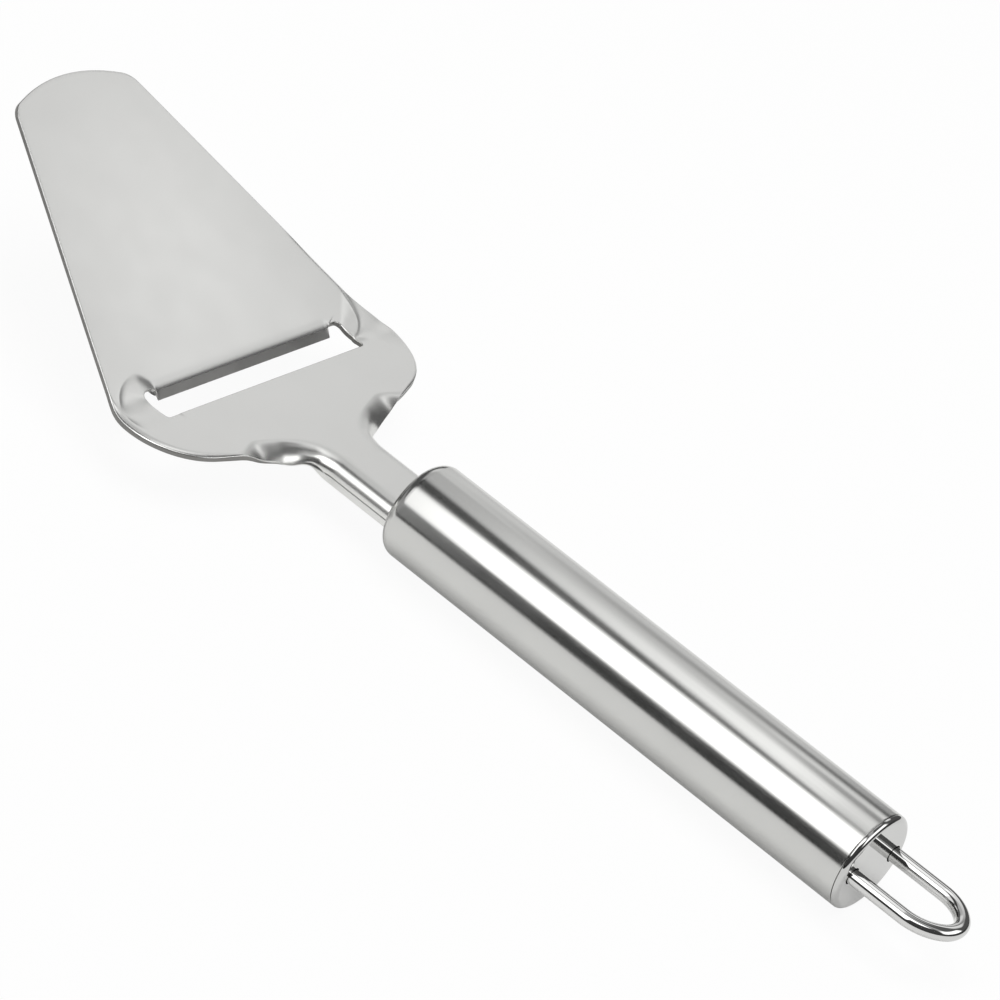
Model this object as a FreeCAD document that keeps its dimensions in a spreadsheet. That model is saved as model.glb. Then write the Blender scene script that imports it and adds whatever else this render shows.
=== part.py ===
"""Cheese slicer with a tubular handle, as a parametric document in millimetres.

Each piece is drawn about the handle's own axis: Y runs along the handle towards the blade's tip,
with zero at the handle's nose, X runs across the blade, and Z is up from the axis. One placement
then lifts every piece until the handle lies on Z zero and the whole length is centred on Y zero.
"""

import FreeCAD, Part
import Sketcher
import math
import os

SIZES = {
    "handle_diameter": 20.0,
    "handle_length": 111.2,
    "tube_wall": 0.6,
    "nose_radius": 2.7,
    "cap_rim": 1.0,
    "cap_edge_radius": 0.9,
    "cap_wall": 0.9,
    "cap_skirt": 6.0,
    "cap_clearance": 0.03,
    "wire_diameter": 3.0,
    "loop_spacing": 13.0,
    "loop_reach": 21.3,
    "loop_crown": 5.45,
    "loop_tip_radius": 5.2,
    "loop_side_radius": 8.5,
    "leg_inside": 7.0,
    "leg_clearance": 0.25,
    "loop_bead": 1.2,
    "sheet_thickness": 1.0,
    "neck_rise": 1.84,
    "neck_width": 15.2,
    "neck_depth": 4.8,
    "neck_length": 18.4,
    "neck_bend_radius": 2.0,
    "neck_fillet": 6.2,
    "tang_length": 22.0,
    "tang_clearance": 0.1,
    "tang_bead": 1.2,
    "shoulder_depth": 10.72,
    "flange_run": 11.0,
    "ear_radius": 15.0,
    "bend_offset": 25.6,
    "plate_tilt": 23.6,
    "plate_bend_radius": 24.0,
    "plate_length": 66.4,
    "plate_root_width": 75.4,
    "plate_tip_width": 30.3,
    "tip_radius": 40.0,
    "tip_corner_radius": 4.8,
    "slot_offset": 20.35,
    "slot_margin": 9.2,
    "slot_gap": 5.55,
    "slot_relief": 1.4,
    "slot_corner_radius": 0.8,
    "lip_notch": 3.5,
    "lip_root": 1.8,
    "edge_drop": 1.2,
    "bevel_run": 1.15,
    "overrun": 1.0,
}

doc = FreeCAD.newDocument("CheeseSlicer")
sheet = doc.addObject("Spreadsheet::Sheet", "Sizes")
for row, (alias, number) in enumerate(SIZES.items(), start=1):
    sheet.set(f"A{row}", alias)
    sheet.set(f"B{row}", str(number))
    sheet.setAlias(f"B{row}", alias)
doc.recompute()


class Size:
    """A value together with the expression on the sheet's cells that gives it."""

    def __init__(self, value, text):
        self.value = value
        self.text = text

    def __add__(self, other):
        return Size(self.value + plain(other).value, f"({self.text} + {plain(other).text})")

    def __sub__(self, other):
        return Size(self.value - plain(other).value, f"({self.text} - {plain(other).text})")

    def __mul__(self, other):
        return Size(self.value * plain(other).value, f"({self.text} * {plain(other).text})")

    def __truediv__(self, other):
        return Size(self.value / plain(other).value, f"({self.text} / {plain(other).text})")

    def __neg__(self):
        return Size(-self.value, f"(0 - {self.text})")


def plain(number):
    """A bare number as a Size, and a Size as it is."""
    return number if isinstance(number, Size) else Size(float(number), str(number))


def size(alias):
    """The size in the sheet's cell of that name."""
    return Size(float(sheet.get(alias)), f"Sizes.{alias}")


def sine(angle):
    return Size(math.sin(math.radians(angle.value)), f"sin({angle.text})")


def cosine(angle):
    return Size(math.cos(math.radians(angle.value)), f"cos({angle.text})")


def tangent(angle):
    return Size(math.tan(math.radians(angle.value)), f"tan({angle.text})")


def angle_of_sine(ratio):
    return Size(math.degrees(math.asin(ratio.value)), f"asin({ratio.text})")


def angle_of_tangent(ratio):
    return Size(math.degrees(math.atan(ratio.value)), f"atan({ratio.text})")


ZERO = plain(0)
near_share = 0.001
bead_crown_share = 0.25
tip_arc_share = 0.85
overrun = size("overrun")
thickness = size("sheet_thickness")
wall = size("tube_wall")

# Handle, cap and loop, measured from the nose back along the axis
tube_radius = size("handle_diameter") / 2
bore_radius = tube_radius - wall
tube_end = -size("handle_length")
cap_face = tube_end - size("cap_rim")
skirt_radius = bore_radius - size("cap_clearance")
skirt_end = tube_end + size("cap_skirt")
cap_inside = cap_face + size("cap_wall")
wire_radius = size("wire_diameter") / 2
leg_place = size("loop_spacing") / 2
loop_end = cap_face - size("loop_reach")

# Neck: an upside-down channel whose top is the rear plate's own top
root_half = size("plate_root_width") / 2
neck_half = size("neck_width") / 2
neck_top = size("neck_rise")
neck_floor = neck_top - size("neck_depth")
neck_bend = size("neck_bend_radius")
shoulder_place = size("neck_length")
shoulder_rise = size("shoulder_depth") / (root_half - neck_half)
flange_end = neck_half + size("flange_run")
flange_end_place = shoulder_place + size("flange_run") * shoulder_rise
neck_front = flange_end_place + neck_bend + thickness

# Blade: the plate tilts up from the bend line, and its width tapers in a straight line
tilt = size("plate_tilt")
bend_place = shoulder_place + size("bend_offset")
plate_run = size("plate_length") * cosine(tilt)
tip_place = bend_place + plate_run
tip_half = size("plate_tip_width") / 2
taper = (root_half - tip_half) / plate_run

# The whole length is centred, and the handle's lowest line is at zero
rest_y = (-loop_end - tip_place) / 2
rest_z = tube_radius


def new_body(name):
    """An empty body named for its piece and set at the rest position."""
    body = doc.addObject("PartDesign::Body", name)
    body.Label = name
    body.setExpression("Placement.Base.y", rest_y.text)
    body.setExpression("Placement.Base.z", rest_z.text)
    return body


def new_sketch(body, name, plane, offset=ZERO):
    """A sketch on one of the body's origin planes, moved along that plane's normal."""
    sketch = body.newObject("Sketcher::SketchObject", name)
    origin_plane = next(item for item in body.Origin.OriginFeatures if item.Role == plane)
    sketch.AttachmentSupport = [(origin_plane, "")]
    sketch.MapMode = "FlatFace"
    sketch.setExpression("AttachmentOffset.Base.z", offset.text)
    return sketch


def bind(sketch, constraint, expression):
    """Adds a constraint and ties its value to the sheet."""
    index = sketch.addConstraint(constraint)
    sketch.setExpression(f"Constraints[{index}]", expression)


def fix_point(sketch, geometry, position, x, y):
    """Places one point of a sketch by its two coordinates."""
    bind(sketch, Sketcher.Constraint("DistanceX", -1, 1, geometry, position, x.value), x.text)
    bind(sketch, Sketcher.Constraint("DistanceY", -1, 1, geometry, position, y.value), y.text)


def corner_arc(before, corner, after, radius):
    """Where a rounded corner leaves its two lines, and the middle of its arc."""
    inward = (before - corner).normalize()
    outward = (after - corner).normalize()
    half_angle = inward.getAngle(outward) / 2
    reach = radius / math.tan(half_angle)
    bisector = (inward + outward).normalize()
    middle = corner + bisector * (radius / math.sin(half_angle) - radius)
    return corner + inward * reach, middle, corner + outward * reach


def rounded_path(sketch, corners, closed=True):
    """Lines through the corners, each corner (x, y, radius) sharp or rounded by a tangent arc."""
    points = [FreeCAD.Vector(x.value, y.value, 0) for x, y, radius in corners]
    count = len(corners)
    arcs = [None] * count
    for index, (x, y, radius) in enumerate(corners):
        if radius is not None:
            arcs[index] = corner_arc(points[index - 1], points[index],
                                     points[(index + 1) % count], radius.value)
    lines = []
    for index in range(count if closed else count - 1):
        after = (index + 1) % count
        start = arcs[index][2] if arcs[index] else points[index]
        end = arcs[after][0] if arcs[after] else points[after]
        lines.append(sketch.addGeometry(Part.LineSegment(start, end)))
    for index, (x, y, radius) in enumerate(corners):
        line_in = lines[index - 1] if closed or index > 0 else None
        line_out = lines[index] if index < len(lines) else None
        if arcs[index] is None:
            if line_in is not None and line_out is not None:
                sketch.addConstraint(Sketcher.Constraint("Coincident", line_in, 2, line_out, 1))
            if line_out is not None:
                fix_point(sketch, line_out, 1, x, y)
            else:
                fix_point(sketch, line_in, 2, x, y)
        else:
            arc = sketch.addGeometry(Part.Arc(*arcs[index]))
            turns_left = (points[index] - points[index - 1]).cross(
                points[(index + 1) % count] - points[index]).z > 0
            arc_start, arc_end = (1, 2) if turns_left else (2, 1)
            mark = sketch.addGeometry(Part.Point(points[index]), True)
            fix_point(sketch, mark, 1, x, y)
            sketch.addConstraint([
                Sketcher.Constraint("Tangent", line_in, 2, arc, arc_start),
                Sketcher.Constraint("Tangent", line_out, 1, arc, arc_end),
                Sketcher.Constraint("PointOnObject", mark, 1, line_in),
                Sketcher.Constraint("PointOnObject", mark, 1, line_out),
            ])
            bind(sketch, Sketcher.Constraint("Radius", arc, radius.value), radius.text)


def mirrored(half):
    """A symmetric outline from its right half, listed from bottom to top."""
    left = [(-x, y, radius) for x, y, radius in reversed(half) if x.value != 0]
    return half + left


def circle(sketch, x, y, radius):
    """A circle with its centre and radius tied to the sheet."""
    centre = FreeCAD.Vector(x.value, y.value, 0)
    ring = sketch.addGeometry(Part.Circle(centre, FreeCAD.Vector(0, 0, 1), radius.value))
    fix_point(sketch, ring, 3, x, y)
    bind(sketch, Sketcher.Constraint("Radius", ring, radius.value), radius.text)


def extrude(body, kind, sketch, length=None, both_ways=False, reverse=False):
    """A pad or pocket of a sketch; a pocket with no length goes through everything."""
    before = body.Shape.Volume if body.Tip else 0
    feature = body.newObject(f"PartDesign::{kind}", f"{sketch.Name}_{kind}")
    feature.Profile = sketch
    feature.SideType = "Symmetric" if both_ways else "One side"
    feature.Reversed = reverse
    if length is None:
        feature.Type = "ThroughAll"
    else:
        feature.setExpression("Length", length.text)
    doc.recompute()
    after = body.Shape.Volume
    if (after <= before) if kind == "Pad" else (after >= before):
        raise RuntimeError(f"{feature.Name} changed nothing")
    return feature


def round_edges(body, name, radius, chosen):
    """A fillet on the edges of the body's last feature that a test picks."""
    base = body.Tip
    names = [f"Edge{index}" for index, edge in enumerate(base.Shape.Edges, start=1) if chosen(edge)]
    fillet = body.newObject("PartDesign::Fillet", name)
    fillet.Base = (base, names)
    fillet.setExpression("Radius", radius.text)
    doc.recompute()


def revolve(body, sketch):
    """A full turn of a sketch about the handle's axis."""
    feature = body.newObject("PartDesign::Revolution", f"{sketch.Name}_Revolution")
    feature.Profile = sketch
    feature.ReferenceAxis = (sketch, ["V_Axis"])
    doc.recompute()


def join(kind, name, first, second):
    """A boolean of two shapes, named for the piece that it makes."""
    result = doc.addObject(f"Part::{kind}", name)
    result.Label = name
    result.Base = first
    result.Tool = second
    doc.recompute()
    return result


def channel_outline(outer, inner, floor):
    """An arch across X and Z between two offsets from the outside of the neck's channel."""
    return mirrored([
        (neck_half + inner, floor, None),
        (neck_half + outer, floor, None),
        (neck_half + outer, neck_top + outer, neck_bend + outer),
    ]) + [
        (-(neck_half + inner), neck_top + inner, neck_bend + inner),
        (neck_half + inner, neck_top + inner, neck_bend + inner),
    ]


def make_plate():
    """The bent plate with its outline, slot and ground lip, left open where the neck joins it."""
    body = new_body("plate")
    bend_radius = size("plate_bend_radius")
    reach = size("plate_length") + overrun
    end_y = bend_place + reach * cosine(tilt)
    end_z = neck_top + reach * sine(tilt)
    back = flange_end_place - overrun
    width = size("plate_root_width") + size("ear_radius")

    profile = new_sketch(body, "plate_profile", "YZ_Plane")
    rounded_path(profile, [
        (back, neck_top - thickness, None),
        (bend_place + thickness * tangent(tilt / 2), neck_top - thickness, bend_radius + thickness),
        (end_y + thickness * sine(tilt), end_z - thickness * cosine(tilt), None),
        (end_y, end_z, None),
        (bend_place, neck_top, bend_radius),
        (back, neck_top, None),
    ])
    extrude(body, "Pad", profile, width, both_ways=True)

    # Seen from above: shoulder line, rounded ear, straight taper, rounded corner and arched tip
    ear_y = ((shoulder_place + shoulder_rise * (root_half - neck_half + taper * bend_place))
             / (shoulder_rise * taper + 1))
    ear_x = root_half - taper * (ear_y - bend_place)
    tip_slope = angle_of_sine(tip_half * tip_arc_share / size("tip_radius"))
    apex_y = tip_place + size("tip_radius") / cosine(tip_slope) - size("tip_radius")
    corner_x = ((root_half - taper * (apex_y - bend_place))
                / (plain(1) - taper * tangent(tip_slope)))
    corner_y = apex_y - corner_x * tangent(tip_slope)
    frame_half = width / 2 + overrun
    frame_front = end_y + thickness + overrun
    outline = new_sketch(body, "plate_outline", "XY_Plane")
    rounded_path(outline, mirrored([
        (neck_half, shoulder_place, None),
        (ear_x, ear_y, size("ear_radius")),
        (corner_x, corner_y, size("tip_corner_radius")),
        (ZERO, apex_y, size("tip_radius")),
    ]))
    rounded_path(outline, mirrored([
        (frame_half, ZERO, None),
        (frame_half, frame_front, None),
    ]))
    extrude(body, "Pocket", outline, both_ways=True)

    slot_back = shoulder_place + size("slot_offset")
    edge_y = slot_back + size("slot_gap")
    slot_front = edge_y + size("slot_relief")
    slot_half = root_half - size("slot_margin")
    slot = new_sketch(body, "slicing_slot", "XY_Plane")
    rounded_path(slot, mirrored([
        (slot_half, slot_back, size("slot_corner_radius")),
        (slot_half, slot_front, size("slot_relief")),
    ]))
    extrude(body, "Pocket", slot, both_ways=True)

    # The lip runs on from the plate's underside to the edge, with the bevel ground on its top
    root_y = slot_front + size("lip_root")
    plate_rise = tangent(tilt)
    bevel_y = edge_y + size("bevel_run")
    root_top = neck_top + (root_y - bend_place) * plate_rise
    lip = new_sketch(body, "cutting_lip", "YZ_Plane")
    rounded_path(lip, [
        (edge_y, neck_top - size("edge_drop"), None),
        (root_y, root_top - thickness / cosine(tilt), None),
        (root_y, root_top, None),
        (bevel_y, neck_top + (bevel_y - bend_place) * plate_rise, None),
    ])
    extrude(body, "Pad", lip, (slot_half - size("lip_notch")) * 2, both_ways=True)

    opening = new_sketch(body, "neck_opening", "XY_Plane")
    rounded_path(opening, mirrored([
        (flange_end, ZERO, None),
        (flange_end, neck_front, None),
    ]))
    extrude(body, "Pocket", opening, both_ways=True)
    return body


def neck_plan(inset, back, end, front):
    """The neck seen from above, its flanged edge moved inwards by the inset."""
    side = neck_half - inset
    shoulder_y = shoulder_place + inset / cosine(angle_of_tangent(shoulder_rise))
    return mirrored([
        (side, back, None),
        (side, shoulder_y - inset * shoulder_rise, size("neck_fillet") + inset),
        (end, shoulder_y + (end - neck_half) * shoulder_rise, None),
        (end, front, None),
    ])


def make_neck():
    """The channel-shaped neck with its tang, flaring into the shoulders where its flanges fade."""
    body = new_body("neck")
    back = -size("tang_length")
    ceiling = neck_top - thickness

    def on_flange(level):
        """A test for the flanged edges at a height, leaving out the block's cut ends."""
        near = thickness.value * near_share

        def test(edge):
            middle = edge.valueAt((edge.FirstParameter + edge.LastParameter) / 2)
            cut_ends = (abs(middle.x) - flange_end.value, middle.y - neck_front.value,
                        middle.y - back.value)
            level_edge = edge.BoundBox.ZLength < near and abs(middle.z - level.value) < near
            return level_edge and all(abs(distance) > near for distance in cut_ends)

        return test

    block = new_sketch(body, "neck_block", "XY_Plane", neck_top)
    rounded_path(block, neck_plan(ZERO, back, flange_end, neck_front))
    extrude(body, "Pad", block, size("neck_depth"), reverse=True)
    round_edges(body, "neck_outer_bend", neck_bend, on_flange(neck_top))

    hollow = new_sketch(body, "neck_hollow", "XY_Plane", ceiling)
    rounded_path(hollow, neck_plan(thickness, back - overrun, flange_end + overrun,
                                   neck_front + overrun))
    extrude(body, "Pocket", hollow)
    round_edges(body, "neck_inner_bend", neck_bend - thickness, on_flange(ceiling))

    # The flanges lose depth from the neck's side out to the shoulder, until the sheet is flat
    fade_start = neck_half + thickness
    fade_end = flange_end + overrun
    fade = new_sketch(body, "flange_fade", "XZ_Plane")
    under = neck_floor - overrun
    right = [
        (fade_start, under, None),
        (fade_end, under, None),
        (fade_end, ceiling, None),
        (flange_end, ceiling, None),
        (fade_start, neck_floor, None),
    ]
    rounded_path(fade, right)
    rounded_path(fade, [(-x, z, radius) for x, z, radius in reversed(right)])
    extrude(body, "Pocket", fade, both_ways=True)
    return body


def make_tube():
    """The thin round handle with a drawn nose, and the arched slot that the tang goes through."""
    body = new_body("handle_tube")
    wall_line = new_sketch(body, "tube_wall_line", "XY_Plane")
    rounded_path(wall_line, [
        (bore_radius, tube_end, None),
        (tube_radius, tube_end, None),
        (tube_radius, ZERO, size("nose_radius")),
        (ZERO, ZERO, None),
        (ZERO, -wall, None),
        (bore_radius, -wall, size("nose_radius") - wall),
    ])
    revolve(body, wall_line)

    gap = size("tang_clearance")
    slot = new_sketch(body, "tang_slot", "XZ_Plane")
    rounded_path(slot, channel_outline(gap, -(thickness + gap), neck_floor - gap))
    extrude(body, "Pocket", slot, (wall + overrun) * 2, both_ways=True)
    return body


def make_cap():
    """The cup that closes the tube: a polished rim and face, a skirt inside, and two wire holes."""
    body = new_body("end_cap")
    inside = skirt_radius - size("cap_wall")
    cup = new_sketch(body, "cap_cup", "XY_Plane")
    rounded_path(cup, [
        (ZERO, cap_face, None),
        (tube_radius, cap_face, size("cap_edge_radius")),
        (tube_radius, tube_end, None),
        (skirt_radius, tube_end, None),
        (skirt_radius, skirt_end, None),
        (inside, skirt_end, None),
        (inside, cap_inside, None),
        (ZERO, cap_inside, None),
    ])
    revolve(body, cup)

    holes = new_sketch(body, "wire_holes", "XZ_Plane", -cap_face)
    for place in (leg_place, -leg_place):
        circle(holes, place, ZERO, wire_radius + size("leg_clearance"))
    extrude(body, "Pocket", holes, size("cap_wall") + overrun)
    return body


def make_loop():
    """The hanging loop: one wire with two straight legs and a tall arch of three arcs."""
    body = new_body("hanging_loop")
    turn = angle_of_tangent(leg_place / size("loop_crown"))
    tip_radius = size("loop_tip_radius")
    arch_y = loop_end + wire_radius - (tip_radius / sine(turn) - tip_radius)
    side_y = arch_y + size("loop_crown")
    leg_end = cap_face + size("leg_inside")
    line = new_sketch(body, "wire_line", "XY_Plane")
    rounded_path(line, [
        (leg_place, leg_end, None),
        (leg_place, side_y, size("loop_side_radius")),
        (ZERO, arch_y, tip_radius),
        (-leg_place, side_y, size("loop_side_radius")),
        (-leg_place, leg_end, None),
    ], closed=False)
    section = new_sketch(body, "wire_section", "XZ_Plane", -leg_end)
    circle(section, leg_place, ZERO, wire_radius)
    doc.recompute()
    pipe = body.newObject("PartDesign::AdditivePipe", "wire_pipe")
    pipe.Profile = section
    pipe.Spine = (line, [])
    doc.recompute()
    return body


def make_tang_weld():
    """The bead between the tang's outside and the inside of the nose."""
    bead = size("tang_bead")
    band = new_body("tang_weld_band")
    arch = new_sketch(band, "tang_weld_arch", "XZ_Plane", wall)
    rounded_path(arch, channel_outline(bead, ZERO, neck_floor))
    extrude(band, "Pad", arch, bead)

    cavity = new_body("nose_cavity")
    inside = new_sketch(cavity, "nose_cavity_line", "XY_Plane")
    rounded_path(inside, [
        (ZERO, -(wall + size("nose_radius") + bead), None),
        (bore_radius, -(wall + size("nose_radius") + bead), None),
        (bore_radius, -wall, size("nose_radius") - wall),
        (ZERO, -wall, None),
    ])
    revolve(cavity, inside)
    return join("Common", "tang_weld", band, cavity)


def make_loop_welds():
    """One cone-shaped bead round each leg of the loop, on the inside of the cap."""
    bead = size("loop_bead")
    along_handle = FreeCAD.Rotation(FreeCAD.Vector(1, 0, 0), -90)
    rings = []
    for side, place in (("right", leg_place), ("left", -leg_place)):
        cone = doc.addObject("Part::Cone", f"bead_{side}")
        cone.setExpression("Radius1", (wire_radius + bead).text)
        cone.setExpression("Radius2", (wire_radius + bead * bead_crown_share).text)
        cone.setExpression("Height", bead.text)
        core = doc.addObject("Part::Cylinder", f"bead_core_{side}")
        core.setExpression("Radius", wire_radius.text)
        core.setExpression("Height", bead.text)
        for solid in (cone, core):
            solid.Placement = FreeCAD.Placement(FreeCAD.Vector(), along_handle)
            solid.setExpression("Placement.Base.x", place.text)
            solid.setExpression("Placement.Base.y", (rest_y + cap_inside).text)
            solid.setExpression("Placement.Base.z", rest_z.text)
        rings.append(join("Cut", f"bead_ring_{side}", cone, core))
    pair = doc.addObject("Part::Compound", "loop_welds")
    pair.Links = rings
    doc.recompute()
    return pair


pieces = {
    "blade": join("Fuse", "blade", make_plate(), make_neck()),
    "handle_tube": make_tube(),
    "end_cap": make_cap(),
    "hanging_loop": make_loop(),
    "tang_weld": make_tang_weld(),
    "loop_welds": make_loop_welds(),
}
pieces["blade"].Refine = True
doc.recompute()

for item in doc.Objects:
    if "Invalid" in item.State or "Error" in item.State:
        raise RuntimeError(f"{item.Name} failed: {item.State}")
for name, piece in pieces.items():
    if piece.Shape.isNull() or not piece.Shape.isValid() or not piece.Shape.Solids:
        raise RuntimeError(f"{name} has no valid solid")

os.makedirs("parts", exist_ok=True)
for name, piece in pieces.items():
    piece.Shape.exportStep(f"parts/{name}.step")
    print(name, len(piece.Shape.Solids), "solids", round(piece.Shape.Volume, 2), "cubic mm")
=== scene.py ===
"""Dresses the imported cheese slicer: satin blade, drawn tube handle, polished end cap and wire loop."""

import math

import bmesh
import bpy
import numpy as np
from mathutils import Matrix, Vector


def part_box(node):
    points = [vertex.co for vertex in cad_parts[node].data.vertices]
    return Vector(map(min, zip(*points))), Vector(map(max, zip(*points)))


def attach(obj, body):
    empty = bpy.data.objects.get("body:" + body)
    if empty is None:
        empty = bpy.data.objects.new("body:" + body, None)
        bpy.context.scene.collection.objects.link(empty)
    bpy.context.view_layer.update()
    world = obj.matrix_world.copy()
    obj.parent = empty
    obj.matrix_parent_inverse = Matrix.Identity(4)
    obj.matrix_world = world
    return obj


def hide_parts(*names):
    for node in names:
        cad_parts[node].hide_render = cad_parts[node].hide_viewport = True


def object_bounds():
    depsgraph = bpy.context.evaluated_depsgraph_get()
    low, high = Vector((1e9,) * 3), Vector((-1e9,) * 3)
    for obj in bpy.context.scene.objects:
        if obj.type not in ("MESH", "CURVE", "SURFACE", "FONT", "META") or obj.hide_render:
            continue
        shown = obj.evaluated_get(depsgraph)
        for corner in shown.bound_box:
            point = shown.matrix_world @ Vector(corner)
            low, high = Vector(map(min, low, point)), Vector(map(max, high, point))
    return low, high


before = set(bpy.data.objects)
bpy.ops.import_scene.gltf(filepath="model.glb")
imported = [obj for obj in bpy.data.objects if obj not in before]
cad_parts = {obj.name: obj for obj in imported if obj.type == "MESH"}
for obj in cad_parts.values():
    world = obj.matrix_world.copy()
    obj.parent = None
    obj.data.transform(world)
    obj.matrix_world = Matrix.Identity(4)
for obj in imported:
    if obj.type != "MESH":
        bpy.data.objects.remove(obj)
CAD_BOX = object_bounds()

bl_info = {
    "name": "Cheese Slicer Dressing",
    "version": (1, 0, 0),
    "blender": (4, 5, 0),
    "location": "View3D > Sidebar > Slicer",
    "description": "Builds the visible surfaces, finishes and studio of a steel cheese slicer",
    "category": "Object",
}

MM = 0.001

# Points closer than this become one point
MERGE_GAP = 1e-7

# The neck's fold runs out by this power of its lean's sine, so that it is tight at its foot
NECK_POWER = 2 / 3

# Places taken from the frame: the handle's axis runs along Y and its nose faces the blade
TUBE_LOW, TUBE_HIGH = np.array(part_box("handle_tube"))
CAP_LOW = np.array(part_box("end_cap"))[0]
LOOP_LOW, LOOP_HIGH = np.array(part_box("hanging_loop"))
BLADE_LOW, BLADE_HIGH = np.array(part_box("blade"))
TUBE_RADIUS = (TUBE_HIGH[0] - TUBE_LOW[0]) / 2
AXIS_Z = (TUBE_HIGH[2] + TUBE_LOW[2]) / 2
NOSE = np.array((0.0, TUBE_HIGH[1], AXIS_Z))
HANDLE_LENGTH = TUBE_HIGH[1] - TUBE_LOW[1]
CAP_FACE = CAP_LOW[1] - NOSE[1]
LOOP_END = LOOP_LOW[1] - NOSE[1]
LOOP_HALF = LOOP_HIGH[0]
TANG_END = BLADE_LOW[1] - NOSE[1]
TIP_PLACE = BLADE_HIGH[1] - NOSE[1]
FLOOR_Z = CAD_BOX[0][2]


def length(name, description, millimetres):
    """A length property, given in millimetres and kept in metres."""
    return bpy.props.FloatProperty(name=name, description=description, default=millimetres * MM,
                                   precision=5, subtype="DISTANCE", unit="LENGTH")


def angle(name, description, degrees):
    """An angle property, given in degrees and kept in radians."""
    return bpy.props.FloatProperty(name=name, description=description, default=math.radians(degrees),
                                   precision=4, subtype="ANGLE", unit="ROTATION")


def fraction(name, description, default):
    """A property that goes from none to all."""
    return bpy.props.FloatProperty(name=name, description=description, default=default, min=0.0, max=1.0,
                                   subtype="FACTOR")


def linear(hex_colour):
    """An sRGB hex colour as linear red, green and blue."""
    codes = np.array([int(hex_colour[at:at + 2], 16) for at in (1, 3, 5)]) / 255
    return tuple(np.where(codes <= 0.04045, codes / 12.92, ((codes + 0.055) / 1.055) ** 2.4))


def colour(name, description, hex_colour):
    """A colour property, given as an sRGB hex value."""
    return bpy.props.FloatVectorProperty(name=name, description=description, size=3, min=0.0, max=1.0,
                                         default=linear(hex_colour), subtype="COLOR")


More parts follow.
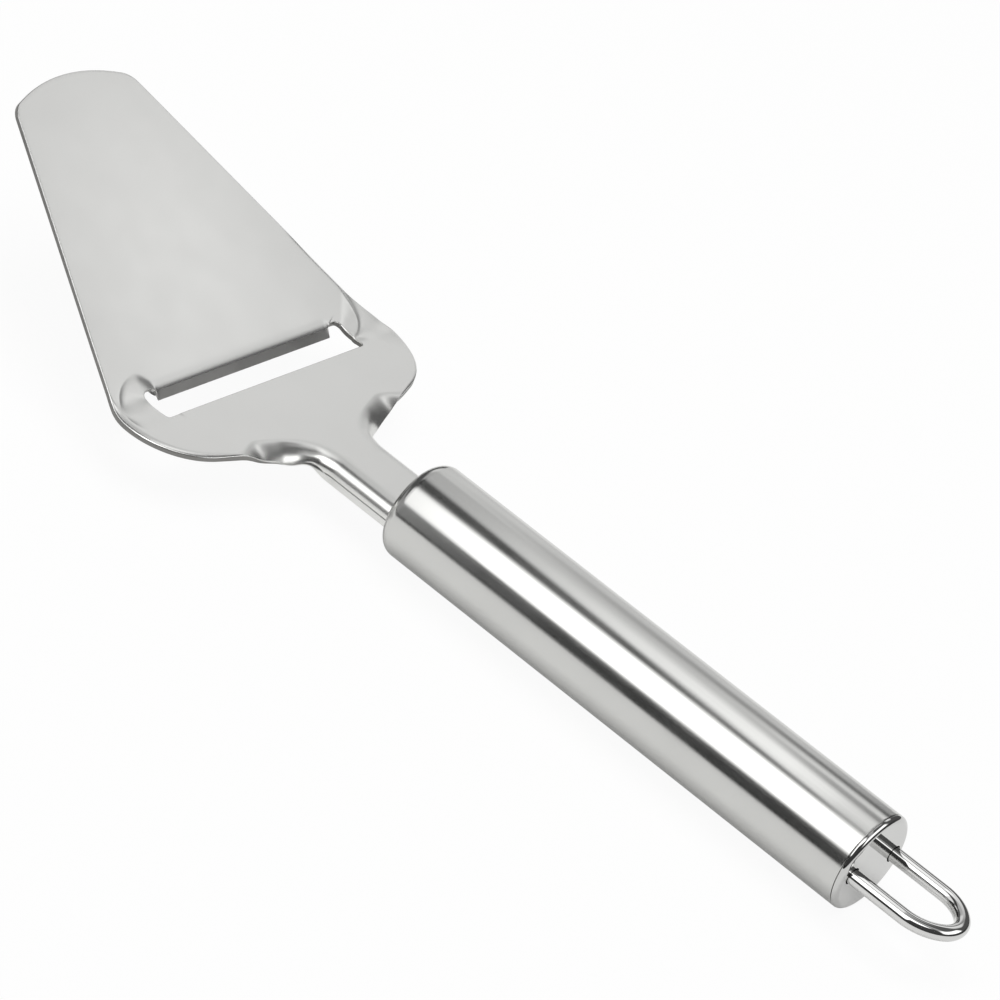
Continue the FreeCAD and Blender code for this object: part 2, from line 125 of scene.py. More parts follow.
class BladeSettings(bpy.types.PropertyGroup):
    """Sizes and colours of the stamped blade."""

    thickness: length("Sheet thickness", "Thickness of the steel sheet", 1.0)
    top_rise: length("Neck rise", "Height of the neck's top above the handle's axis", 1.84)
    neck_width: length("Neck width", "Width over the folded flanges", 15.2)
    neck_depth: length("Neck depth", "Height of the folded flanges", 4.8)
    neck_length: length("Neck length", "From the handle's nose to the shoulder line", 18.4)
    neck_fillet: length("Shoulder fillet", "Radius between neck and shoulder, seen from above", 6.2)
    fold_width: length("Fold width", "Width of the neck's fold, seen from above", 3.85)
    fold_spread: length("Fold spread", "How much wider the fold gets along the shoulder", 0.25)
    flange_drop: length("Flange drop", "Straight part of the flange below the fold", 1.6)
    flange_fade: length("Flange fade", "How far along the shoulder the straight part lasts", 2.2)
    flange_run: length("Flange run", "Distance from the neck at which the fold has faded out", 18.0)
    flange_crease: length("Flange crease", "Depth of the pressed line between fold and flange", 0.10)
    shoulder_depth: length("Shoulder depth", "How far the shoulder line runs forward", 10.72)
    tilt: angle("Plate tilt", "Angle of the plate to the neck", 23.6)
    bend_offset: length("Bend place", "From the shoulder line to the bend line", 25.6)
    slot_bend: length("Slot bend radius", "Radius of the bend between the slot's ends", 3.0)
    ear_bend: length("Ear bend radius", "Radius of the soft bend in the ears", 14.0)
    edge_bend: length("Edge bend", "Added radius of the bend at the right ear's outer edge", 38.0)
    root_width: length("Plate root width", "Width of the plate at the bend line", 75.4)
    tip_width: length("Plate tip width", "Width of the plate's taper at the tip", 30.3)
    tip_radius: length("Tip radius", "Radius of the arched tip", 40.0)
    tip_corner: length("Tip corner radius", "Radius of the tip's corners", 4.8)
    camber: length("Plate camber", "How far the plate's sides fall below its middle", 0.25)
    edge_round: length("Edge rounding", "Radius of the deburred edges", 0.25)
    burr: length("Edge burr", "Size of the break at the sheared edge's foot", 0.08)
    ear_radius: length("Ear radius", "Radius of the rounded ears", 15.0)
    ear_roll: length("Ear edge roll", "Width of the rolled edge round the ears", 1.35)
    ear_fall: length("Ear edge fall", "Added depth of the rolled edge round the ears", 0.25)
    ear_droop: length("Ear edge droop", "How far the ears' edges are drawn down", 0.33)
    ear_step: length("Ear step", "Depth of the pressed step at the front of the ears", 0.31)
    step_run: length("Step run", "How far the ear's step takes to level out", 1.0)
    step_soft: length("Step softness", "Roundness of the line at which the ear's step starts", 0.15)
    egg_place: length("Egg place", "From the handle's nose to the middle of the left ear's crease", 41.0)
    egg_length: length("Egg length", "Half length of the left ear's crease", 8.2)
    egg_outer: length("Egg outer width", "Half width of the left ear's crease beside the slot", 8.1)
    egg_inner: length("Egg inner width", "Half width of the left ear's crease over the slot", 4.3)
    line_place: length("Line place", "From the middle line to the right ear's crease", 34.3)
    line_start: length("Line start", "From the handle's nose to the start of the right ear's crease", 42.0)
    line_swing: length("Line swing", "How far the right ear's crease starts inwards", 4.6)
    line_bend: length("Line bend", "Length over which the right ear's crease swings out", 2.4)
    line_margin: length("Line margin", "Least distance of the right ear's crease from the edge", 0.6)
    slot_offset: length("Slot place", "From the shoulder line to the slot's back", 20.35)
    slot_half: length("Slot half width", "Half of the slot's width", 28.5)
    slot_gap: length("Slot gap", "From the slot's back to the cutting edge", 5.55)
    slot_corner: length("Slot corner radius", "Radius of the slot's back corners", 0.8)
    slot_round: length("Slot edge rounding", "Radius of the slot's top edge beside the lip", 0.22)
    slot_relief: length("Slot relief", "Depth of the notches beside the lip", 1.75)
    notch_radius: length("Notch radius", "Radius of the notches' outer corners", 1.3)
    lip_half: length("Lip half width", "Half of the cutting edge's width", 25.0)
    lip_corner: length("Lip corner radius", "Radius of the notches' inner corners", 0.55)
    edge_drop: length("Edge drop", "How far the cutting edge lies below the neck's top", 1.2)
    bevel_run: length("Bevel run", "Length of the ground bevel, seen from above", 1.15)
    land_run: length("Land run", "Length of the pressed land ahead of the bevel", 1.85)
    roll_run: length("Bevel roll", "Length over which the land rolls into the bevel", 0.9)
    under_run: length("Underside run", "How far the underside is drawn towards the slot's lower edge", 2.4)
    sheet_colour: colour("Sheet colour", "Colour of the satin sheet", "#E8E8E6")
    # Painted shade: the sheared edges' colour is darker than the sheet's to stand in for the shade on their
    # narrow walls
    cut_edge_and_shade_colour: colour("Cut edge colour", "Colour of the sheared edges", "#8E8D8B")
    bevel_colour: colour("Bevel colour", "Colour of the ground bevel", "#D0CFCD")


class HandleSettings(bpy.types.PropertyGroup):
    """Sizes and colours of the drawn tube."""

    wall: length("Tube wall", "Thickness of the tube", 0.6)
    nose_radius: length("Nose radius", "Radius of the drawn nose", 2.7)
    tail_round: length("Tail rounding", "Radius of the tube's edge at the cap", 0.18)
    slot_clearance: length("Slot clearance", "Gap between the neck and the nose", 0.1)
    tube_colour: colour("Tube colour", "Colour of the drawn and polished tube", "#D8D8D6")


class CapSettings(bpy.types.PropertyGroup):
    """Sizes and colours of the polished cap."""

    rim_depth: length("Rim depth", "Depth of the cap's rounded rim along the handle", 1.02)
    rim_width: length("Rim width", "Width of the rounded rim on the cap's face", 0.95)
    rim_start: angle("Rim start", "Angle of its arc at which the rim leaves the face", 30.0)
    face_rise: length("Face rise", "How far the face stands out past the solid's face", 0.25)
    seam: length("Seam", "Width of the dark seam between cap and tube", 0.16)
    seam_round: length("Seam rounding", "Radius of the cap's edge at the seam", 0.05)
    wall: length("Cap wall", "Thickness of the cap's metal", 0.9)
    skirt: length("Skirt length", "Length of the part inside the tube", 6.0)
    skirt_clearance: length("Skirt clearance", "Gap between the skirt and the tube", 0.03)
    hole_clearance: length("Hole clearance", "Gap round each leg of the wire", 0.25)
    cap_colour: colour("Cap colour", "Colour of the polished cap", "#D6D6D5")


class LoopSettings(bpy.types.PropertyGroup):
    """Sizes and colours of the hanging loop."""

    wire: length("Wire diameter", "Diameter of the bent wire", 3.0)
    crown: length("Loop crown", "From the shoulders of the loop to its tip corner", 5.45)
    tip_radius: length("Loop tip radius", "Radius of the loop's tip on the wire's middle line", 5.2)
    side_radius: length("Loop side radius", "Radius of the loop's shoulders", 8.5)
    leg_inside: length("Leg inside", "Length of each leg behind the cap's face", 7.0)
    wire_colour: colour("Wire colour", "Colour of the polished wire", "#E0E0DF")
    weld_colour: colour("Weld colour", "Colour of the weld beads inside", "#8C8984")


class StageSettings(bpy.types.PropertyGroup):
    """Sizes and colours of the studio, and the camera's place."""

    floor_half: length("Floor half width", "Half of the floor's width", 6000.0)
    floor_shown: fraction("Floor shown", "Share of plain white that the camera sees in the floor", 0.94)
    floor_mirrored: fraction("Floor mirrored", "Share of plain white that the metal sees in the floor", 0.20)
    sky_light: fraction("Background light", "How much of its brightness the background casts", 0.30)
    tent_radius: length("Tent radius", "Radius of the light tent", 600.0)
    lamp_size: length("Lamp size", "Width of the soft lamp overhead", 1000.0)
    lamp_height: length("Lamp height", "Height of the soft lamp over the floor", 1100.0)
    lamp_power: bpy.props.FloatProperty(name="Lamp power", description="Power of the soft lamp in watts",
                                        default=9.0, unit="POWER")
    card_place: length("Card place", "Distance of the black card from the handle's axis", 95.0)
    card_rise: length("Card height", "Height of the black card over the floor", 0.5)
    view_turn: angle("View turn", "Turn of the camera from behind the handle to its left", 62.2933)
    view_lift: angle("View lift", "Height of the camera over the horizon", 31.7655)
    view_roll: angle("View roll", "Turn of the camera about its own view", 22.4374)
    view_distance: length("View distance", "From the camera to the handle's nose", 1007.112)
    view_right: length("View shift right", "How far the camera is moved to its right", 15.786)
    view_up: length("View shift up", "How far the camera is moved up", 0.866)
    lens: bpy.props.FloatProperty(name="Lens", description="Focal length of the camera in millimetres",
                                  default=196.65, subtype="DISTANCE_CAMERA", unit="CAMERA")
    sensor: bpy.props.FloatProperty(name="Sensor", description="Width of the camera's sensor in millimetres",
                                    default=36.0, subtype="DISTANCE_CAMERA", unit="CAMERA")
    floor_colour: colour("Floor colour", "Colour of the floor", "#F7F7F6")
    sky_colour: colour("Background colour", "Colour behind the floor", "#FFFFFF")
    card_colour: colour("Card colour", "Colour of the black card", "#282828")


def smooth_step(low, high, value):
    """Goes from 0 at low to 1 at high, level at both ends."""
    share = np.clip((value - low) / (high - low), 0.0, 1.0)
    return share * share * (3.0 - 2.0 * share)


def blend(first, second, share):
    """Goes from the first value to the second as the share goes from 0 to 1."""
    return first + (second - first) * share


def unit(vectors):
    """Vectors divided by their lengths."""
    return vectors / np.linalg.norm(vectors, axis=-1, keepdims=True)


def rounded_path(corners, arc_steps=25):
    """Straight lines through (x, y, radius) corners, with each corner cut by the arc that touches both.

    On the arc, a point is the turn from its start to its end as seen from its centre.
    """
    points = np.array([corner[:2] for corner in corners])
    pieces = [points[:1]]
    for before, (x, y, radius), after in zip(points, corners[1:-1], points[2:]):
        corner = np.array((x, y))
        if radius == 0:
            pieces.append(corner[None])
            continue
        back, ahead = unit(before - corner), unit(after - corner)
        half = math.acos(back @ ahead) / 2
        centre = corner + unit(back + ahead) * radius / math.sin(half)
        start = corner + back * radius / math.tan(half) - centre
        end = corner + ahead * radius / math.tan(half) - centre
        sweep = math.pi - 2 * half
        turn = np.linspace(0, 1, arc_steps)[:, None] * sweep
        pieces.append(centre + (np.sin(sweep - turn) * start + np.sin(turn) * end) / math.sin(sweep))
    return np.concatenate(pieces + [points[-1:]])


def place_on(path, point):
    """Distance along a path to its nearest place to a point."""
    steps = np.diff(path, axis=0)
    lengths = np.linalg.norm(steps, axis=1)
    shares = np.clip(((point - path[:-1]) * steps).sum(1) / lengths ** 2, 0, 1)
    gaps = np.linalg.norm(path[:-1] + shares[:, None] * steps - point, axis=1)
    nearest = np.argmin(gaps)
    return lengths[:nearest].sum() + shares[nearest] * lengths[nearest]


def sampled(path, keys, counts):
    """Points on a path, with a count of even steps from each key point to the next."""
    reached = np.concatenate(([0], np.cumsum(np.linalg.norm(np.diff(path, axis=0), axis=1))))
    places = [place_on(path, np.array(key)) for key in keys]
    marks = np.concatenate([start + np.arange(count) / count for start, count in enumerate(counts)])
    marks = np.append(marks, len(counts))
    distances = np.interp(marks, np.arange(len(places)), places)
    return np.stack([np.interp(distances, reached, path[:, axis]) for axis in (0, 1)], axis=1)


def both_sides(half):
    """A closed outline from its right half, which starts and ends on the middle line."""
    return np.concatenate((half, half[-2:0:-1] * (-1, 1)))


def grid_faces(rows, columns, close_rows, close_columns):
    """Four-cornered faces between neighbours on a grid, joined round where a side is closed."""
    index = np.arange(rows * columns).reshape(rows, columns)
    if close_rows:
        index = np.concatenate((index, index[:1]))
    if close_columns:
        index = np.concatenate((index, index[:, :1]), axis=1)
    corners = (index[:-1, :-1], index[1:, :-1], index[1:, 1:], index[:-1, 1:])
    return np.stack(corners, axis=-1).reshape(-1, 4)


def make_piece(name, node, patches, materials, sharp_angle):
    """One object from grids of points: merged where they meet, faces outwards, riding on the frame.

    A patch is its points, whether its rows and columns close, and a material number for each face. An
    edge that turns by more than sharp_angle, in degrees, stays sharp. A piece is closed where each edge
    has two faces, and one that isn't closed is an error.
    """
    points, faces, numbers, first = [], [], [], 0
    for grid, close_rows, close_columns, number in patches:
        quads = grid_faces(*grid.shape[:2], close_rows, close_columns)
        points.append(grid.reshape(-1, 3))
        faces.append(quads + first)
        numbers.append(np.broadcast_to(number, len(quads)))
        first += points[-1].shape[0]
    mesh = bpy.data.meshes.new(name)
    mesh.from_pydata((np.concatenate(points) + NOSE).tolist(), [], np.concatenate(faces).tolist())
    mesh.polygons.foreach_set("material_index", np.concatenate(numbers).astype(np.int32))
    for material in materials:
        mesh.materials.append(material)
    shell = bmesh.new()
    shell.from_mesh(mesh)
    bmesh.ops.remove_doubles(shell, verts=shell.verts, dist=MERGE_GAP)
    bmesh.ops.recalc_face_normals(shell, faces=shell.faces)
    shell.to_mesh(mesh)
    shell.free()
    edges = np.zeros(len(mesh.loops), dtype=np.int32)
    mesh.loops.foreach_get("edge_index", edges)
    if np.any(np.bincount(edges, minlength=len(mesh.edges)) != 2):
        raise RuntimeError(f"{name} isn't closed")
    mesh.shade_smooth()
    mesh.set_sharp_from_angle(angle=math.radians(sharp_angle))
    piece = bpy.data.objects.new(name, mesh)
    bpy.context.scene.collection.objects.link(piece)
    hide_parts(node)
    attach(piece, "root")
    return piece


def add_node(tree, kind, inputs=None, **settings):
    """Adds a node with its settings; an input is a value, or another node's output to link."""
    node = tree.nodes.new(kind)
    for name, value in settings.items():
        setattr(node, name, value)
    for name, value in (inputs or {}).items():
        if isinstance(value, bpy.types.NodeSocket):
            tree.links.new(value, node.inputs[name])
        else:
            node.inputs[name].default_value = value
    return node


def new_material(name):
    """An empty node material and its tree."""
    material = bpy.data.materials.new(name)
    material.use_nodes = True
    material.node_tree.nodes.clear()
    return material, material.node_tree


def steel_finish(name, tint, rough, grain, grain_depth, cloud, tint_share=0.06):
    """Steel whose grain and faint clouds come from noise on Object coordinates.

    rough is the smallest and largest roughness, grain is the size of a mark along X, Y and Z, and
    cloud is the size of a patch that is a little duller or darker than the rest. Real grain is finer
    than a tenth of a millimetre, so its marks are drawn coarser here to show at all.
    """
    material, tree = new_material(name)
    place = add_node(tree, "ShaderNodeTexCoord").outputs["Object"]
    spread = add_node(tree, "ShaderNodeMapping", {
        "Vector": place, "Scale": tuple(1.0 / size for size in grain)}).outputs["Vector"]
    marks = add_node(tree, "ShaderNodeTexNoise", {
        "Vector": spread, "Scale": 1.0, "Detail": 3.0, "Roughness": 0.6}).outputs["Fac"]
    clouds = add_node(tree, "ShaderNodeTexNoise", {
        "Vector": place, "Scale": 1.0 / cloud, "Detail": 2.0}).outputs["Fac"]
    both = add_node(tree, "ShaderNodeMath", {0: marks, 1: clouds}, operation="MULTIPLY").outputs[0]
    roughness = add_node(tree, "ShaderNodeMapRange", {
        "Value": both, "From Min": 0.12, "From Max": 0.40,
        "To Min": rough[0], "To Max": rough[1]}).outputs["Result"]
    darker = tuple(channel * (1.0 - tint_share) for channel in tint)
    shade = add_node(tree, "ShaderNodeMix", {
        "Factor": clouds, 6: (*tint, 1.0), 7: (*darker, 1.0)}, data_type="RGBA").outputs[2]
    bump = add_node(tree, "ShaderNodeBump", {
        "Height": marks, "Strength": 1.0, "Distance": grain_depth}).outputs["Normal"]
    surface = add_node(tree, "ShaderNodeBsdfPrincipled", {
        "Base Color": shade, "Metallic": 1.0, "Roughness": roughness, "Normal": bump})
    add_node(tree, "ShaderNodeOutputMaterial", {"Surface": surface.outputs["BSDF"]})
    return material


def ear_creases(x, y, sizes):
    """Depth of the pressed steps in the ears, which fall off from a crease and level out.

    A step is 1 minus the exponential of minus the distance past its crease. The left crease is the upper
    part of an egg of two half-ellipses round the slot's end, and the step lies inside it. The right
    crease leaves the slot's end, swings round and follows the outer edge, and the step lies outside it.
    """
    half_x = np.where(x < -sizes.slot_half, sizes.egg_outer, sizes.egg_inner)
    share_x, share_y = (x + sizes.slot_half) / half_x, (y - sizes.egg_place) / sizes.egg_length
    reach = np.maximum(np.hypot(share_x, share_y), 0.05)
    inside = (1 - reach) * reach / np.hypot(share_x / half_x, share_y / sizes.egg_length).clip(1)
    edge_lean = 0.37
    edge_x = sizes.root_width / 2 - edge_lean * (y - sizes.neck_length - sizes.bend_offset)
    swing = np.exp(-np.clip((y - sizes.line_start) / sizes.line_bend, -2, 9))
    line_x = np.minimum(sizes.line_place - sizes.line_swing * swing, edge_x - sizes.line_margin)

    def step(past):
        """The step's share of its depth, at a distance past its crease."""
        past = (past + np.hypot(past, sizes.step_soft)) / 2
        return 1 - np.exp(-past / sizes.step_run)

    # Each step fades out along the blade, and the left one also beside the lip
    past_lip = smooth_step(-sizes.lip_half - 0.7 * MM, -sizes.lip_half - 0.1 * MM, x)
    left = step(inside) * smooth_step(36 * MM, 42 * MM, y) * (1 - past_lip)
    right = step(x - line_x) * smooth_step(39 * MM, 43 * MM, y) * (1 - smooth_step(57 * MM, 66 * MM, y))
    right_share = 1.3
    return sizes.ear_step * (left + right_share * right)


def blade_height(x, y, sizes):
    """Height of the sheet's top over the neck's top.

    The sheet is level, then turns up on an arc from the bend line and runs on at the tilt. Between the
    slot's ends the arc is small, in the ears it is wide and soft, and at the right ear's edge it is
    softest. Ahead of the bevel a narrow land dips and then rolls over on a parabola.
    """
    across = np.abs(x)
    bend_place = sizes.neck_length + sizes.bend_offset
    soft_run = 3.0 * MM
    softer = smooth_step(sizes.slot_half - soft_run, sizes.slot_half + soft_run, across)
    softest = smooth_step(sizes.slot_half, sizes.root_width / 2, x)
    radius = blend(sizes.slot_bend, sizes.ear_bend, softer) + sizes.edge_bend * softest
    run = np.maximum(y - bend_place + radius * math.tan(sizes.tilt / 2), 0.0)
    turned = np.minimum(run, radius * math.sin(sizes.tilt))
    arc = radius - np.sqrt(radius ** 2 - turned ** 2)
    camber = sizes.camber * (across / sizes.root_width * 2) ** 2 * smooth_step(30 * MM, 60 * MM, y)
    land_slope, roll_slope, lip_fade = 0.07, 0.44, 0.6 * MM
    bevel_place = sizes.neck_length + sizes.slot_offset + sizes.slot_gap + sizes.bevel_run
    land = land_slope * np.maximum(bevel_place + sizes.land_run - y, 0)
    land = land + roll_slope / 2 / sizes.roll_run * np.maximum(bevel_place + sizes.roll_run - y, 0) ** 2
    on_lip = 1 - smooth_step(sizes.lip_half - lip_fade, sizes.lip_half + lip_fade, across)
    land = land * (y > bend_place) * on_lip
    return arc + (run - turned) * math.tan(sizes.tilt) - camber - land - ear_creases(x, y, sizes)


def blade_normal(x, y, sizes):
    """Upward normal of the sheet's top, from the height on each side of a point."""
    step = 0.02 * MM
    slope_x = (blade_height(x + step, y, sizes) - blade_height(x - step, y, sizes)) / (2 * step)
    slope_y = (blade_height(x, y + step, sizes) - blade_height(x, y - step, sizes)) / (2 * step)
    return unit(np.stack((-slope_x, -slope_y, np.ones_like(slope_x)), axis=-1))


def blade_outlines(sizes):
    """The sheet's outline and the slot's top and bottom edges, as closed rows of matched points.

    Each is a path of straight lines and arcs. Its right half has as many even steps between two key
    places as the other two have, and the left half mirrors it.
    """
    neck_half, root_half = sizes.neck_width / 2, sizes.root_width / 2
    bend_place = sizes.neck_length + sizes.bend_offset
    rise = sizes.shoulder_depth / (root_half - neck_half)
    taper = (root_half - sizes.tip_width / 2) / (TIP_PLACE - bend_place)
    ear_y = ((sizes.neck_length + rise * (root_half - neck_half + taper * bend_place))
             / (rise * taper + 1))
    ear_x = root_half - taper * (ear_y - bend_place)
    arch_share = 0.425
    tip_lean = math.asin(sizes.tip_width * arch_share / sizes.tip_radius)
    apex = TIP_PLACE + sizes.tip_radius / math.cos(tip_lean) - sizes.tip_radius
    corner_x = ((root_half - taper * (apex - bend_place)) / (1 - taper * math.tan(tip_lean)))
    corner_y = apex - corner_x * math.tan(tip_lean)
    outer = rounded_path([
        (0.0, TANG_END, 0),
        (neck_half, TANG_END, 0),
        (neck_half, sizes.neck_length, sizes.neck_fillet),
        (ear_x, ear_y, sizes.ear_radius),
        (corner_x, corner_y, sizes.tip_corner),
        (0.0, apex, sizes.tip_radius),
        (-corner_x, corner_y, 0),
    ], 60)
    outer = np.append(outer[outer[:, 0] >= 0], [(0.0, TIP_PLACE)], axis=0)

    back = sizes.neck_length + sizes.slot_offset
    edge = back + sizes.slot_gap
    front = edge + sizes.slot_relief
    bevel = edge + sizes.bevel_run
    side, lip, turn = sizes.slot_half, sizes.lip_half, sizes.slot_corner
    notch, inner = sizes.notch_radius, sizes.lip_corner

    def slot_half_path(lip_end):
        """Right half of the slot's edge, whose lip ends at a given place along the blade."""
        return rounded_path([(0.0, back, 0), (side, back, turn), (side, front, notch),
                             (lip, front, inner), (lip, lip_end, 0), (0.0, lip_end, 0)])

    def slot_keys(lip_end):
        """Key places on that half, one for each key place on the sheet's outline."""
        return [(0.0, back), (1.2 * MM, back), (1.3 * MM, back), (3.4 * MM, back), (11 * MM, back),
                (20 * MM, back), (side - turn, back), (side, back + turn), (side, front - notch),
                (side - notch, front), (lip, front - inner), (lip, lip_end), (9 * MM, lip_end),
                (7.5 * MM, lip_end), (0.0, lip_end)]

    middle = np.array((neck_half + ear_x, sizes.neck_length + ear_y)) / 2
    outer_keys = [(0.0, TANG_END), (neck_half - sizes.fold_width, TANG_END), (neck_half, TANG_END),
                  (neck_half, 12.0 * MM), (12.0 * MM, 19.7 * MM), middle, (34.6 * MM, 28.5 * MM),
                  (36.4 * MM, 31.0 * MM),
                  (37.4 * MM, 44.5 * MM), (36.2 * MM, 48.0 * MM), (35.2 * MM, 51.0 * MM),
                  (34.6 * MM, 53.0 * MM), (17.5 * MM, 97.0 * MM), (13.0 * MM, 103.0 * MM),
                  (0.0, TIP_PLACE)]
    counts = [5, 1, 42, 36, 26, 36, 10, 24, 14, 10, 8, 46, 26, 16]
    return (both_sides(sampled(outer, outer_keys, counts)),
            both_sides(sampled(slot_half_path(bevel), slot_keys(bevel), counts)),
            both_sides(sampled(slot_half_path(edge), slot_keys(edge), counts)))


def fold_section(width, lean_end, power, steps=14):
    """Lean, run and drop along a fold that leans from level to its end, one row for each column.

    The run is the width times a power of the share that the lean's sine has of the last lean's sine. The
    drop then gains the run times that power for each radian of lean.
    """
    lean = lean_end[:, None] * np.linspace(0, 1, steps + 1)
    share = np.sin(lean) / np.maximum(np.sin(lean_end), 1e-6)[:, None]
    run = width[:, None] * share ** power[:, None]
    gain = power[:, None] * (run[:, 1:] + run[:, :-1]) / 2 * np.diff(lean, axis=1)
    drop = np.concatenate((np.zeros((len(lean_end), 1)), np.cumsum(gain, axis=1)), axis=1)
    return lean, run, drop


def outline_facing(outline, sizes):
    """Outward direction at each point of the outline, and which points lie on the tang's square end.

    The direction is square to the line between a point's neighbours. Beside the straight neck it is
    exactly across, and on the tang's end exactly back.
    """
    ahead = np.roll(outline, -1, axis=0) - np.roll(outline, 1, axis=0)
    outward = unit(np.stack((ahead[:, 1], -ahead[:, 0]), axis=1))
    across, along = np.abs(outline[:, 0]), outline[:, 1]
    straight_end = 10 * MM
    beside = (across > sizes.neck_width / 2 - MERGE_GAP) & (along < straight_end)
    behind = (along < TANG_END + MERGE_GAP) & ~beside
    outward[beside] = np.stack((np.sign(outline[beside, 0]), np.zeros(beside.sum())), axis=1)
    outward[behind] = (0, -1)
    return outward, behind


def edge_section(outline, behind, sizes):
    """Section of the sheet's edge at each point of the outline, as runs outwards and drops down.

    A section is the fold's arc, the flange's straight drop, a quarter of an ellipse, the sheared edge with
    a small break at its foot, and then flange and arc again at the sheet's thickness. Also gives how far
    each section reaches, and the rows of the sheared edge.
    """
    across, along = np.abs(outline[:, 0]), outline[:, 1]
    beyond = np.maximum(across - sizes.neck_width / 2, 0)
    rearward = (along < 35 * MM) & ~behind
    before_plate = 1 - smooth_step(43 * MM, 48 * MM, along)

    # The fold stands square on the neck and leans less and less along the shoulder, in three steps, while
    # it first gets wider
    fold = (44 * (1 - smooth_step(8 * MM, sizes.flange_run, beyond))
            + 26 * (1 - smooth_step(3 * MM, 9 * MM, beyond))
            + 20 * (1 - smooth_step(0, 1.6 * MM, beyond)))
    fold = np.radians(fold) * rearward
    power = NECK_POWER + 0.85 * smooth_step(1.5 * MM, 7 * MM, beyond)
    width = sizes.fold_width + sizes.fold_spread * smooth_step(0, 8 * MM, beyond)
    width = width * (1 - smooth_step(11 * MM, sizes.flange_run, beyond))
    lean, fold_run, fold_drop = fold_section(width, fold, power)
    arc = np.stack((fold_run, fold_drop), axis=-1)[:, 1:]
    arc_inward = np.stack((-np.sin(lean), np.cos(lean)), axis=-1)[:, 1:]

    # The flange's straight drop, with a pressed line near its top
    drop = sizes.flange_drop * np.exp(-beyond / sizes.flange_fade) * rearward
    onward = np.stack((np.cos(fold), np.sin(fold)), axis=-1)[:, None]
    inward = np.stack((-onward[..., 1], onward[..., 0]), axis=-1)
    line_place, line_width = 0.28 * MM, 0.13 * MM
    run = drop[:, None] * np.array((0.08, 0.16, 0.24, 0.32, 0.55, 0.78, 1.0))
    crease = sizes.flange_crease * np.exp(-((run - line_place) / line_width) ** 2)
    crease = crease * smooth_step(0.25, 0.6, drop / sizes.flange_drop)[:, None]
    flange = arc[:, -1:] + run[..., None] * onward
    straight = flange + crease[..., None] * inward

    # The edge is rolled over round the ears, most of all on the left, and drawn down
    right_share = 0.25
    rolled = smooth_step(0.8 * sizes.flange_run, 1.2 * sizes.flange_run, beyond) * before_plate * ~behind
    rolled = rolled * np.where(outline[:, 0] < 0, 1, right_share)
    droop = sizes.ear_droop * smooth_step(6 * MM, 10 * MM, beyond) * before_plate
    round_run = (sizes.edge_round + (sizes.ear_roll - sizes.edge_round) * rolled)[:, None, None]
    round_fall = (sizes.edge_round + sizes.ear_fall * rolled)[:, None, None]
    turn = np.linspace(0, math.pi / 2, 9)[None, 1:, None]
    lip = straight[:, -1:] + round_run * np.sin(turn) * onward + round_fall * (1 - np.cos(turn)) * inward

    # The sheared edge and the way back underneath
    deep = sizes.thickness + droop[:, None, None]
    depths = round_fall + (deep - sizes.burr - round_fall) * np.linspace(0, 1, 4)[None, 1:, None]
    cut = straight[:, -1:] + round_run * onward + depths * inward
    foot = straight[:, -1:] + (round_run - sizes.burr) * onward + deep * inward
    under_flange = flange[:, ::-1] + sizes.thickness * inward
    under_arc = (arc + sizes.thickness * arc_inward)[:, ::-1]
    section = np.concatenate((arc, straight, lip, cut, foot, under_flange, under_arc), axis=1)
    reach = fold_run[:, -1] + (drop + round_run[:, 0, 0]) * onward[:, 0, 0]
    cut_start = arc.shape[1] + straight.shape[1] + lip.shape[1] - 2
    return section, reach, slice(cut_start, cut_start + cut.shape[1] + 2)


def under_sheet(top, normal, slot_top, slot_bottom, on_lip, sizes):
    """Underside of the sheet: the top set in by the thickness, and drawn to the slot's lower edge.

    The pull to the lower edge fades evenly away from the slot. The lower edge is the ground cutting edge
    along the lip, the sheet's own underside elsewhere, and shallower in the left notch.
    """
    notch_relief = 0.65
    notched = smooth_step(44.5 * MM, 45.5 * MM, slot_top[:, 1]) * (slot_top[:, 0] < 0)
    plain_foot = top[:, 0, 2] - sizes.thickness * (1 - notch_relief * notched)
    cutting_edge = slot_bottom[on_lip, 1].min()
    ground = np.clip(1 - (slot_bottom[:, 1] - cutting_edge) / sizes.bevel_run, 0, 1) * on_lip
    foot = np.column_stack((slot_bottom, blend(plain_foot, -sizes.edge_drop, ground)))
    from_slot = np.linalg.norm(top[..., :2] - top[:, :1, :2], axis=-1)
    pull = np.clip(1 - from_slot / sizes.under_run, 0, 1)[..., None]
    bottom = top - sizes.thickness * normal
    bottom = bottom + (foot[:, None] - bottom[:, :1]) * pull
    return np.concatenate((bottom[:, :-1:2], bottom[:, -1:]), axis=1)


